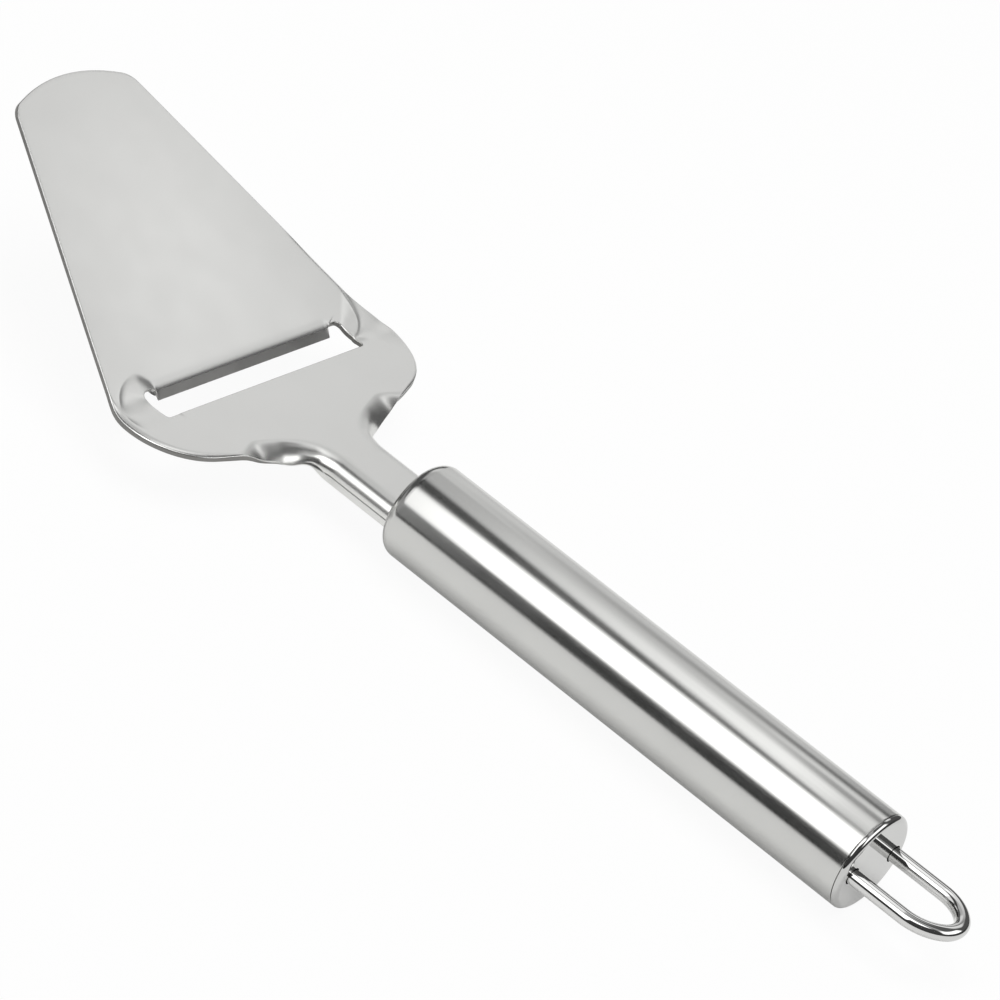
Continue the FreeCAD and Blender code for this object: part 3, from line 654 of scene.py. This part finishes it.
def blade_surface(sizes):
    """The whole sheet as one closed grid: round the outline, and across it in a loop.

    Across: the top from the slot out to the rim, the edge's section, the underside back to the slot, and up
    the slot's wall, which is the ground bevel along the cutting edge and ends in a quarter round.
    """
    outline, slot_top, slot_bottom = blade_outlines(sizes)
    outward, behind = outline_facing(outline, sizes)
    section, reach, cut_rows = edge_section(outline, behind, sizes)
    rim = outline - reach[:, None] * outward

    # The slot's top edge is rounded, but not on the lip, and less and less towards the lip's corners
    on_lip = np.abs(slot_bottom - slot_top).max(axis=1) > 0.05 * MM
    from_lip = smooth_step(sizes.lip_half, sizes.lip_half + 1.6 * MM, np.abs(slot_top[:, 0]))
    slot_round = sizes.slot_round * ~on_lip * np.where(slot_top[:, 1] > 45 * MM, from_lip, 1)
    slot_in = unit(rim - slot_top) * slot_round[:, None]

    # The top sheet, with closer rows near the slot and the rim
    share = np.linspace(0, 1, 72)
    share = 0.5 * share + 0.25 * (1 - np.cos(math.pi * share))
    start = slot_top + slot_in
    plan = start[:, None] + (rim - start)[:, None] * share[None, :, None]
    height = blade_height(plan[..., 0], plan[..., 1], sizes)
    top = np.concatenate((plan, height[..., None]), axis=-1)
    normal = blade_normal(plan[..., 0], plan[..., 1], sizes)

    # The edge's section, which stands on the top sheet at the rim
    rim_normal = normal[:, -1]
    level = np.column_stack((outward, np.zeros(len(outward))))
    out = unit(level - (level * rim_normal).sum(1, keepdims=True) * rim_normal)
    edge = top[:, -1:] + section[..., :1] * out[:, None] - section[..., 1:] * rim_normal[:, None]

    # The underside, the slot's wall and its rounded top
    bottom = under_sheet(top, normal, slot_top, slot_bottom, on_lip, sizes)
    wall_top = np.column_stack((slot_top, top[:, 0, 2] - slot_round))[:, None]
    wall = wall_top + (bottom[:, :1] - wall_top) * np.linspace(1, 0, 5)[None, 1:-1, None]
    turn = np.linspace(0, math.pi / 2, 6)[None, :-1, None]
    slot_rise = np.column_stack((slot_in, slot_round))[:, None]
    slot_turn = np.concatenate((1 - np.cos(turn), 1 - np.cos(turn), np.sin(turn)), axis=-1)
    rows = np.concatenate((top, edge, bottom[:, ::-1], wall, wall_top + slot_rise * slot_turn), axis=1)
    rows[..., 2] += sizes.top_rise

    # Face numbers: 0 satin sheet, 1 sheared edge with its painted shade, 2 ground bevel
    number = np.zeros(rows.shape[:2], dtype=int)
    number[:, top.shape[1]:][:, cut_rows] = 1
    wall_start = top.shape[1] + edge.shape[1] + bottom.shape[1] - 1
    ground = on_lip & np.roll(on_lip, -1)
    number[:, wall_start:wall_start + wall.shape[1] + 1] = np.where(ground, 2, 1)[:, None]
    return rows, number.reshape(-1)


class SLICER_OT_blade(bpy.types.Operator):
    """Builds the stamped blade with its folded neck, slot and ground lip."""

    bl_idname = "slicer.blade"
    bl_label = "Blade"

    def execute(self, context):
        sizes = context.scene.slicer_blade
        rows, number = blade_surface(sizes)
        # Stainless sheet, tumbled to a fine satin: soft even reflections with a faint cloudiness
        satin = steel_finish("satin stainless sheet", sizes.sheet_colour, (0.247, 0.263),
                             (0.3 * MM, 0.3 * MM, 0.3 * MM), 0.00004 * MM, 9.0 * MM, 0.02)
        # Sheared edge of the sheet: duller, with marks that run through the thickness; its darker colour is
        # painted shade
        sheared = steel_finish("sheared stainless edge with painted shade", sizes.cut_edge_and_shade_colour, (0.32, 0.45),
                               (0.3 * MM, 0.3 * MM, 1.2 * MM), 0.004 * MM, 4.0 * MM)
        # Ground bevel: fine wheel marks square to the edge break up its dark reflection
        ground = steel_finish("ground stainless bevel", sizes.bevel_colour, (0.30, 0.40),
                              (0.22 * MM, 3.0 * MM, 3.0 * MM), 0.003 * MM, 5.0 * MM)
        make_piece("stamped_blade", "blade", [(rows, True, True, number)],
                   [satin, sheared, ground], 26)
        return {"FINISHED"}


def revolved(profile, angles):
    """A profile of (radius, place along the axis) carried round the handle's axis, one row an angle."""
    radius, place = profile[:, 0], profile[:, 1]
    return np.stack((np.cos(angles)[:, None] * radius, np.broadcast_to(place, (len(angles), len(place))),
                     np.sin(angles)[:, None] * radius), axis=-1)


def reach_inside(angles, half_width, low, high, corner_width, corner_depth):
    """How far a ray from the axis goes before it leaves a box whose upper corners are elliptical.

    The reach is found by halving the stretch between a place inside and a place outside.
    """
    ray = np.stack((np.cos(angles), np.sin(angles)), axis=1)
    short, far = np.zeros(len(angles)), np.full(len(angles), 4 * half_width)
    for _ in range(40):
        middle = (short + far) / 2
        x, z = (ray * middle[:, None]).T
        over = np.stack(((np.abs(x) - half_width) / corner_width + 1, (z - high) / corner_depth + 1))
        inside = (np.linalg.norm(np.maximum(over, 0), axis=0) < 1) & (z > low)
        short, far = np.where(inside, middle, short), np.where(inside, far, middle)
    return short


def nose_slot(sizes, blade):
    """Half width, lowest height and fold depth of the slot in the nose that the neck goes through."""
    fold_fit = 0.93
    fold = fold_section(*np.array([[blade.fold_width], [math.pi / 2], [NECK_POWER]]))
    half = blade.neck_width / 2 + sizes.slot_clearance
    low = blade.top_rise - blade.neck_depth - sizes.slot_clearance
    return half, low, fold_fit * fold[2][0, -1]


def tube_rows(sizes, blade):
    """The tube's outside, nose face and inside as one closed grid round the handle's axis.

    The profile is straight with rounded ends. The nose's face runs in along rays from the axis to the
    slot, whose outline is the neck's with a little room.
    """
    gap, wall = sizes.slot_clearance, sizes.wall
    bore, face_edge = TUBE_RADIUS - wall, TUBE_RADIUS - sizes.nose_radius
    turns = np.linspace(0, 2 * math.pi, 256, endpoint=False)
    outside = rounded_path([(bore, -HANDLE_LENGTH, 0), (TUBE_RADIUS, -HANDLE_LENGTH, sizes.tail_round),
                            (TUBE_RADIUS, 0, sizes.nose_radius), (face_edge, 0, 0)])[:-1]
    inside = rounded_path([(face_edge, -wall, 0), (bore, -wall, sizes.nose_radius - wall),
                           (bore, -HANDLE_LENGTH, 0)])[1:-1]
    half, low, fold_depth = nose_slot(sizes, blade)
    reach = reach_inside(turns, half, low, blade.top_rise + gap, blade.fold_width + gap, fold_depth + gap)
    radius = face_edge + (reach[:, None] - face_edge) * np.linspace(0, 1, 6)[None, 1:]
    face = np.stack((np.cos(turns)[:, None] * radius, np.zeros_like(radius),
                     np.sin(turns)[:, None] * radius), axis=-1)
    back = face[:, ::-1] - (0, wall, 0)
    return np.concatenate((revolved(outside, turns), face, back, revolved(inside, turns)), axis=1)


def tongue_rows(sizes, blade):
    """The tongue of the nose that stands between the neck's flanges, as a closed grid across it.

    Its top is level and falls at both ends on a quarter of an ellipse. Its sides bulge out a little.
    """
    gap, wall, thick = sizes.slot_clearance, sizes.wall, blade.thickness
    half, low, fold_depth = nose_slot(sizes, blade)
    half = half - thick - 2 * gap
    across = half * np.sin(np.linspace(-1, 1, 40) * math.pi / 2)
    corner = blade.fold_width - thick - gap
    over = np.maximum(np.abs(across) - half + corner, 0) / corner
    fall = (fold_depth - thick - gap) * (1 - np.sqrt(np.maximum(1 - over ** 2, 0)))
    top = blade.top_rise - thick - gap - fall
    z = low + (top - low)[:, None] * np.linspace(0, 1, 9)[None]
    front = np.stack((np.broadcast_to(across[:, None], z.shape), np.zeros_like(z), z), axis=-1)
    rows = np.concatenate((front, front[:, ::-1] - (0, wall, 0)), axis=1)
    bulge = 1.01
    sides = rows[[0, -1]] * (bulge, 0, 1) - (0, wall / 2, 0)
    return np.concatenate((sides[:1], rows, sides[1:]))


class SLICER_OT_handle(bpy.types.Operator):
    """Builds the drawn tube with its rounded nose and the slot that the neck goes through."""

    bl_idname = "slicer.handle"
    bl_label = "Handle tube"

    def execute(self, context):
        sizes = context.scene.slicer_handle
        blade = context.scene.slicer_blade
        # Drawn stainless tube, polished lengthwise: long faint streaks in otherwise clear reflections
        polished = steel_finish("drawn polished stainless tube", sizes.tube_colour, (0.15, 0.22),
                                (0.5 * MM, 60.0 * MM, 0.5 * MM), 0.0012 * MM, 14.0 * MM)
        patches = [(tube_rows(sizes, blade), True, True, 0), (tongue_rows(sizes, blade), False, True, 0)]
        make_piece("drawn_handle", "handle_tube", patches, [polished], 30)
        return {"FINISHED"}


def half_disc(radius, hole, leg):
    """Rings of matched points round a hole and round the half-disc that the hole lies in.

    Each ray from the hole's middle meets the half-disc's outline at the arc or at the flat, whichever is
    nearer. Two of the rays go to the half-disc's corners.
    """
    corner = math.atan2(radius, -leg)
    turn = np.append(np.linspace(0, 2 * math.pi, 144, endpoint=False), (corner, 2 * math.pi - corner))
    turn = np.sort(turn)
    ray = np.stack((np.cos(turn), np.sin(turn)), axis=1)
    to_arc = -leg * ray[:, 0] + np.sqrt(radius ** 2 - (leg * ray[:, 1]) ** 2)
    with np.errstate(divide="ignore"):
        to_flat = np.where(ray[:, 0] < -1e-9, -leg / ray[:, 0], np.inf)
    return ray * hole + (leg, 0), ray * np.minimum(to_arc, to_flat)[:, None] + (leg, 0)


def cap_patches(sizes, handle, loop):
    """The cap's grids: its rim, side and skirt carried round the axis, and two faces of two halves each.

    The rim's profile is part of an ellipse's arc, from a clear line at the face to the cap's side.
    """
    leg = LOOP_HALF - loop.wire / 2
    hole = loop.wire / 2 + sizes.hole_clearance
    face, face_radius = CAP_FACE - sizes.face_rise, TUBE_RADIUS - sizes.rim_width
    inside, tail = CAP_FACE + sizes.wall, -HANDLE_LENGTH
    skirt = TUBE_RADIUS - handle.wall - sizes.skirt_clearance
    bore = skirt - sizes.wall
    ring, outline = half_disc(face_radius, hole, leg)

    def half_face(scale, place, side):
        """Points between the hole and the half-disc's outline, which is scaled about the cap's middle."""
        share = np.linspace(0, 1, 8)[None, :, None]
        flat = ring[:, None] + (scale * outline - ring)[:, None] * share
        return np.stack((side * flat[..., 0], np.full(flat.shape[:2], place), flat[..., 1]), axis=-1)

    # The rim is carried round through the same points that the two halves of the face have
    arc = outline[np.hypot(outline[:, 0], outline[:, 1]) > face_radius - 1e-9]
    right = np.arctan2(arc[:, 1], arc[:, 0])
    turns = np.unique(np.round(np.concatenate((right, math.pi - right)) % (2 * math.pi), 9))
    over = np.linspace(sizes.rim_start, math.pi / 2, 25)
    rim_in = (1 - np.sin(over)) / (1 - math.sin(sizes.rim_start))
    rim_deep = 1 - np.cos(over) / math.cos(sizes.rim_start)
    rim = np.stack((TUBE_RADIUS - sizes.rim_width * rim_in, face + sizes.rim_depth * rim_deep), axis=1)
    side_path = rounded_path([(TUBE_RADIUS, face + sizes.rim_depth, 0),
                              (TUBE_RADIUS, tail - sizes.seam, sizes.seam_round),
                              (skirt, tail - sizes.seam, 0), (skirt, tail + sizes.skirt, 0),
                              (bore, tail + sizes.skirt, 0), (bore, inside, 0)])
    patches = [(revolved(np.concatenate((rim, side_path[1:])), turns), True, False, 0)]
    for side in (1, -1):
        front = half_face(1, face, side)
        back = half_face(bore / face_radius, inside, side)
        hole_wall = np.stack((front[:, 0], back[:, 0]), axis=1)
        patches += [(grid, True, False, 0) for grid in (front, back, hole_wall)]
    return patches


class SLICER_OT_cap(bpy.types.Operator):
    """Builds the polished cap with its rounded rim and the two holes for the wire."""

    bl_idname = "slicer.cap"
    bl_label = "End cap"

    def execute(self, context):
        sizes = context.scene.slicer_cap
        patches = cap_patches(sizes, context.scene.slicer_handle, context.scene.slicer_loop)
        # Pressed stainless cup, buffed to a mirror: sharp reflections with the faintest haze
        mirror = steel_finish("buffed stainless cap", sizes.cap_colour, (0.03, 0.07),
                              (0.6 * MM, 0.6 * MM, 0.6 * MM), 0.0002 * MM, 6.0 * MM)
        make_piece("buffed_cap", "end_cap", patches, [mirror], 18)
        return {"FINISHED"}


def loop_rows(sizes):
    """The bent wire as a closed grid: a circle carried along its path, drawn to a point at both ends.

    The path is two legs and a pointed arch, with an arc at each shoulder and at the tip.
    """
    wire = sizes.wire / 2
    leg = LOOP_HALF - wire
    lean = math.atan(leg / sizes.crown)
    arch = LOOP_END + wire - (sizes.tip_radius / math.sin(lean) - sizes.tip_radius)
    shoulder, leg_end = arch + sizes.crown, CAP_FACE + sizes.leg_inside
    path = rounded_path([(leg, leg_end, 0), (leg, shoulder, sizes.side_radius),
                         (0.0, arch, sizes.tip_radius), (-leg, shoulder, sizes.side_radius),
                         (-leg, leg_end, 0)], 40)
    ahead = unit(np.gradient(path, axis=0))
    side = np.stack((ahead[:, 1], -ahead[:, 0], np.zeros(len(path))), axis=1)
    spine = np.concatenate((path, np.zeros((len(path), 1))), axis=1)
    turn = np.linspace(0, 2 * math.pi, 64, endpoint=False)[None, :, None]
    circle = wire * (np.cos(turn) * side[:, None] + np.sin(turn) * np.array((0, 0, 1.0)))
    rows = spine[:, None] + circle
    ends = np.broadcast_to(spine[[0, -1], None], (2, *rows.shape[1:]))
    return np.concatenate((ends[:1], rows, ends[1:]))


class SLICER_OT_loop(bpy.types.Operator):
    """Builds the bent wire loop and gives the hidden weld beads their finish."""

    bl_idname = "slicer.loop"
    bl_label = "Hanging loop and welds"

    def execute(self, context):
        sizes = context.scene.slicer_loop
        # Bright-drawn stainless wire, buffed: mirror streaks that follow the bend
        bright = steel_finish("bright-drawn stainless wire", sizes.wire_colour, (0.03, 0.06),
                              (0.5 * MM, 0.5 * MM, 0.5 * MM), 0.0002 * MM, 5.0 * MM)
        make_piece("bent_wire_loop", "hanging_loop",
                   [(loop_rows(sizes), False, True, 0)], [bright], 40)

        # Weld metal as laid: dull, slightly brown and rippled
        bead = steel_finish("as-laid stainless weld bead", sizes.weld_colour, (0.42, 0.60),
                            (0.5 * MM, 0.5 * MM, 0.5 * MM), 0.03 * MM, 2.0 * MM, 0.25)
        for node in ("tang_weld", "loop_welds"):
            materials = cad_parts[node].data.materials
            materials.clear()
            materials.append(bead)
        return {"FINISHED"}


def tent_light(roll, lift):
    """Brightness of the tent's cloth, by the angle round the handle's direction and along it.

    Angles are in degrees, and light is in shares of plain white. There is a pale right side with a duller
    patch and a bright spot, a soft strip overhead that dims towards the front, a bright panel at the left
    that runs round to the back, and dark cloth between, behind and below them.
    """
    across, along = np.radians(roll), np.radians(lift)
    up = np.degrees(np.arcsin(np.cos(along) * np.cos(across)))
    bearing = np.degrees(np.arctan2(np.sin(across) * np.cos(along), np.sin(along)))
    rear = smooth_step(105, 140, np.abs(bearing))

    # Pale right side, the strip overhead and the dark gap between the strip and the left panel
    patch = np.exp(-((roll - 53) / 14) ** 2 - ((lift - 14) / 8.5) ** 2)
    glow = np.exp(-((roll - 45) / 7) ** 2 - ((lift - 6) / 8) ** 2)
    light = 0.85 - 0.50 * patch + 0.52 * glow - 0.14 * smooth_step(65, 85, roll)
    strip = 1.36 - 0.05 * np.maximum(lift - 13, 0)
    light = blend(light, strip, 1 - smooth_step(12, 36, roll))
    light = blend(light, 0.53, smooth_step(20, 25, lift) * (1 - smooth_step(38, 47, roll)))
    light = blend(light, 0.45, (1 - smooth_step(3, 9, lift)) * (1 - smooth_step(18, 30, roll)))
    gap_end = -8 + np.clip(lift - 12.5, -6, 16)
    light = blend(light, 0.06, 1 - smooth_step(gap_end - 5, gap_end + 5, roll))

    # Dark cloth overhead and behind, and at the front end
    overhead = smooth_step(20, 27, roll) * (1 - smooth_step(34, 40, roll))
    light = blend(light, 0.09, overhead * (1 - smooth_step(7, 12, lift)))
    light = blend(light, 0.12, smooth_step(110, 122, bearing))
    light = blend(light, 0.10, smooth_step(42, 54, lift))

    # Bright panel at the left that dims towards the front and rises towards the back, and a second one
    # low down at the back
    leftward = -bearing
    low = blend(23.5, 47.0, smooth_step(95, 108, leftward) * (1 - smooth_step(160, 170, leftward)))
    side = (1 - smooth_step(-27, -15, roll)) * (1 - smooth_step(42, 52, lift))
    side = side * smooth_step(low - 3, low + 3, up) * (1 - smooth_step(160, 170, leftward))
    light = blend(light, blend(2.2, 1.0, smooth_step(23, 26.5, lift)), side)
    back = np.maximum(smooth_step(137, 145, bearing), smooth_step(165, 172, leftward))
    back = back * smooth_step(16, 22, up) * (1 - smooth_step(38, 45, up))
    light = blend(light, 1.95, back)

    # Dark cloth along the horizon
    flag_start = blend(78.0, 73.0, smooth_step(20, 28, up))
    right_flag = smooth_step(flag_start, flag_start + 7, bearing) * (1 - smooth_step(34, 39, up))
    right_flag = right_flag * (1 - smooth_step(135, 145, bearing) * smooth_step(15, 18, up))
    front_flag = smooth_step(-20, -10, bearing) * (1 - smooth_step(58, 64, bearing))
    front_flag = front_flag * (1 - smooth_step(16, 22, up))
    light = blend(light, 0.10, np.maximum(right_flag, front_flag))
    left_flag = (bearing < 0) * (1 - smooth_step(19, 23, up)) * (1 - rear)
    light = blend(light, blend(0.05, 0.35, smooth_step(23.5, 26, lift)), left_flag)
    return blend(light, 0.05, rear * (1 - smooth_step(13, 17, up)))


def pale_background(sizes):
    """A world that shows at full strength to the camera and in the metal, and casts less light."""
    world = bpy.data.worlds.new("pale background")
    world.use_nodes = True
    tree = world.node_tree
    tree.nodes.clear()
    path = add_node(tree, "ShaderNodeLightPath").outputs
    shown = add_node(tree, "ShaderNodeMath", {
        0: path["Is Camera Ray"], 1: path["Is Glossy Ray"]}, operation="MAXIMUM").outputs[0]
    shown = add_node(tree, "ShaderNodeMath", {
        0: shown, 1: path["Is Transmission Ray"]}, operation="MAXIMUM").outputs[0]
    strength = add_node(tree, "ShaderNodeMapRange", {
        "Value": shown, "To Min": sizes.sky_light, "To Max": 1.0}).outputs["Result"]
    sky = add_node(tree, "ShaderNodeBackground", {
        "Color": (*sizes.sky_colour, 1.0), "Strength": strength})
    add_node(tree, "ShaderNodeOutputWorld", {"Surface": sky.outputs[0]})
    return world


def table_finish(sizes):
    """Matt white table top: it takes the object's soft shadow, and shows pale in the metal too."""
    paper, tree = new_material("matt white table top")
    path = add_node(tree, "ShaderNodeLightPath").outputs
    mirrored = add_node(tree, "ShaderNodeMath", {
        0: path["Is Glossy Ray"], 1: path["Is Transmission Ray"]}, operation="MAXIMUM").outputs[0]
    seen = add_node(tree, "ShaderNodeMath", {
        0: path["Is Camera Ray"], 1: sizes.floor_shown}, operation="MULTIPLY").outputs[0]
    seen = add_node(tree, "ShaderNodeMath", {
        0: mirrored, 1: sizes.floor_mirrored, 2: seen}, operation="MULTIPLY_ADD", use_clamp=True).outputs[0]
    matt = add_node(tree, "ShaderNodeBsdfDiffuse", {"Color": (*sizes.floor_colour, 1.0)}).outputs[0]
    white = add_node(tree, "ShaderNodeEmission", {"Strength": 1.0}).outputs[0]
    both = add_node(tree, "ShaderNodeMixShader", {0: seen, 1: matt, 2: white}).outputs[0]
    add_node(tree, "ShaderNodeOutputMaterial", {"Surface": both})
    return paper


def cloth_finish():
    """Lit tent cloth: it glows by the light that each of its points carries."""
    cloth, tree = new_material("lit tent cloth")
    level = add_node(tree, "ShaderNodeAttribute", attribute_name="light").outputs["Fac"]
    glow = add_node(tree, "ShaderNodeEmission", {"Strength": level}).outputs[0]
    add_node(tree, "ShaderNodeOutputMaterial", {"Surface": glow})
    cloth.cycles.emission_sampling = "NONE"
    return cloth


def felt_finish(sizes):
    """Black felt: it gives the metal a dull dark patch to show."""
    black, tree = new_material("black felt card")
    felt = add_node(tree, "ShaderNodeBsdfDiffuse", {"Color": (*sizes.card_colour, 1.0)}).outputs[0]
    add_node(tree, "ShaderNodeOutputMaterial", {"Surface": felt})
    return black


def stage_piece(name, points, faces, material, hidden_from=()):
    """An object of the studio, which can be hidden from some kinds of ray."""
    mesh = bpy.data.meshes.new(name)
    mesh.from_pydata(points, [], faces)
    mesh.materials.append(material)
    piece = bpy.data.objects.new(name, mesh)
    for kind in hidden_from:
        setattr(piece, "visible_" + kind, False)
    bpy.context.scene.collection.objects.link(piece)
    return piece


def level_sheet(left, right, front, back, height):
    """The points and the face of a level rectangle."""
    return [(left, front, height), (right, front, height), (right, back, height),
            (left, back, height)], [(0, 1, 2, 3)]


def light_tent(sizes):
    """Half a ball of lit cloth over the object, its seams running along the handle's direction.

    A point's place comes from its roll round that direction and its lift along it.
    """
    roll, lift = np.meshgrid(np.linspace(-90, 90, 241), np.linspace(-89.5, 89.5, 121), indexing="ij")
    across, along = np.radians(roll), np.radians(lift)
    ball = sizes.tent_radius * np.stack((np.sin(across) * np.cos(along), np.sin(along),
                                         np.cos(across) * np.cos(along)), axis=-1)
    tent = stage_piece("light_tent", ball.reshape(-1, 3).tolist(),
                       grid_faces(*roll.shape, False, False).tolist(), cloth_finish(),
                       ("camera", "diffuse", "shadow"))
    light = tent.data.attributes.new("light", "FLOAT", "POINT")
    light.data.foreach_set("value", tent_light(roll, lift).reshape(-1).astype(np.float32))
    return tent


def overhead_softbox(sizes):
    """A broad soft lamp overhead that lights the floor, while the metal shows only the tent."""
    lamp = bpy.data.lights.new("overhead_softbox", "AREA")
    lamp.energy = sizes.lamp_power
    lamp.size = sizes.lamp_size
    softbox = bpy.data.objects.new("overhead_softbox", lamp)
    softbox.location = (0.0, 0.0, sizes.lamp_height)
    softbox.visible_camera = False
    softbox.visible_glossy = False
    bpy.context.scene.collection.objects.link(softbox)
    return softbox


def photo_camera(sizes):
    """The camera: turned and lifted about the handle's nose, rolled, and moved square to its view."""
    turn, lift, roll = sizes.view_turn, sizes.view_lift, sizes.view_roll
    back = np.array((-math.sin(turn) * math.cos(lift), -math.cos(turn) * math.cos(lift), math.sin(lift)))
    level = unit(np.cross((0, 0, 1), back))
    upright = np.cross(back, level)
    right = math.cos(roll) * level + math.sin(roll) * upright
    up = math.cos(roll) * upright - math.sin(roll) * level
    place = NOSE + sizes.view_right * right + sizes.view_up * up + sizes.view_distance * back
    view = bpy.data.cameras.new("photo_camera")
    view.lens = sizes.lens
    view.sensor_width = sizes.sensor
    camera = bpy.data.objects.new("photo_camera", view)
    turned = np.stack((right, up, back), axis=1)
    camera.matrix_world = Matrix([(*row, where) for row, where in zip(turned, place)] + [(0, 0, 0, 1)])
    bpy.context.scene.collection.objects.link(camera)
    return camera


class SLICER_OT_stage(bpy.types.Operator):
    """Builds the floor, the light tent, the background and the camera."""

    bl_idname = "slicer.stage"
    bl_label = "Stage"

    def execute(self, context):
        scene, sizes = context.scene, context.scene.slicer_stage
        scene.view_settings.view_transform = "Standard"
        scene.world = pale_background(sizes)
        half, reach = sizes.floor_half, sizes.tent_radius
        floor_sheet = level_sheet(-half, half, -half, half, FLOOR_Z)
        floor = stage_piece("table_top", *floor_sheet, table_finish(sizes))
        tent = light_tent(sizes)
        softbox = overhead_softbox(sizes)
        # The card lies on the floor at the left and is seen only in the metal
        card_sheet = level_sheet(-reach, -sizes.card_place, -reach, reach, FLOOR_Z + sizes.card_rise)
        card = stage_piece("black_card", *card_sheet, felt_finish(sizes), ("camera", "diffuse", "shadow"))
        scene.camera = photo_camera(sizes)
        return {"FINISHED"}


class SLICER_PT_panel(bpy.types.Panel):
    """Lists the slicer's pieces and their sizes in the sidebar."""

    bl_idname = "SLICER_PT_panel"
    bl_label = "Cheese slicer"
    bl_space_type = "VIEW_3D"
    bl_region_type = "UI"
    bl_category = "Slicer"

    def draw(self, context):
        for operator, settings in PIECES:
            box = self.layout.box()
            box.operator(operator.bl_idname)
            group = getattr(context.scene, settings)
            for name in group.__annotations__:
                box.prop(group, name)


SETTINGS = {
    "slicer_blade": BladeSettings,
    "slicer_handle": HandleSettings,
    "slicer_cap": CapSettings,
    "slicer_loop": LoopSettings,
    "slicer_stage": StageSettings,
}
PIECES = (
    (SLICER_OT_blade, "slicer_blade"),
    (SLICER_OT_handle, "slicer_handle"),
    (SLICER_OT_cap, "slicer_cap"),
    (SLICER_OT_loop, "slicer_loop"),
    (SLICER_OT_stage, "slicer_stage"),
)
CLASSES = (*SETTINGS.values(), *(operator for operator, _ in PIECES), SLICER_PT_panel)


def register():
    """Registers the classes and hangs the settings on the scene."""
    for each in CLASSES:
        bpy.utils.register_class(each)
    for name, group in SETTINGS.items():
        setattr(bpy.types.Scene, name, bpy.props.PointerProperty(type=group))


def unregister():
    """Takes the settings and classes away again."""
    for name in SETTINGS:
        delattr(bpy.types.Scene, name)
    for each in reversed(CLASSES):
        bpy.utils.unregister_class(each)


def main():
    """Builds every piece and the stage."""
    register()
    bpy.ops.slicer.blade()
    bpy.ops.slicer.handle()
    bpy.ops.slicer.cap()
    bpy.ops.slicer.loop()
    bpy.ops.slicer.stage()


if __name__ == "__main__":
    main()
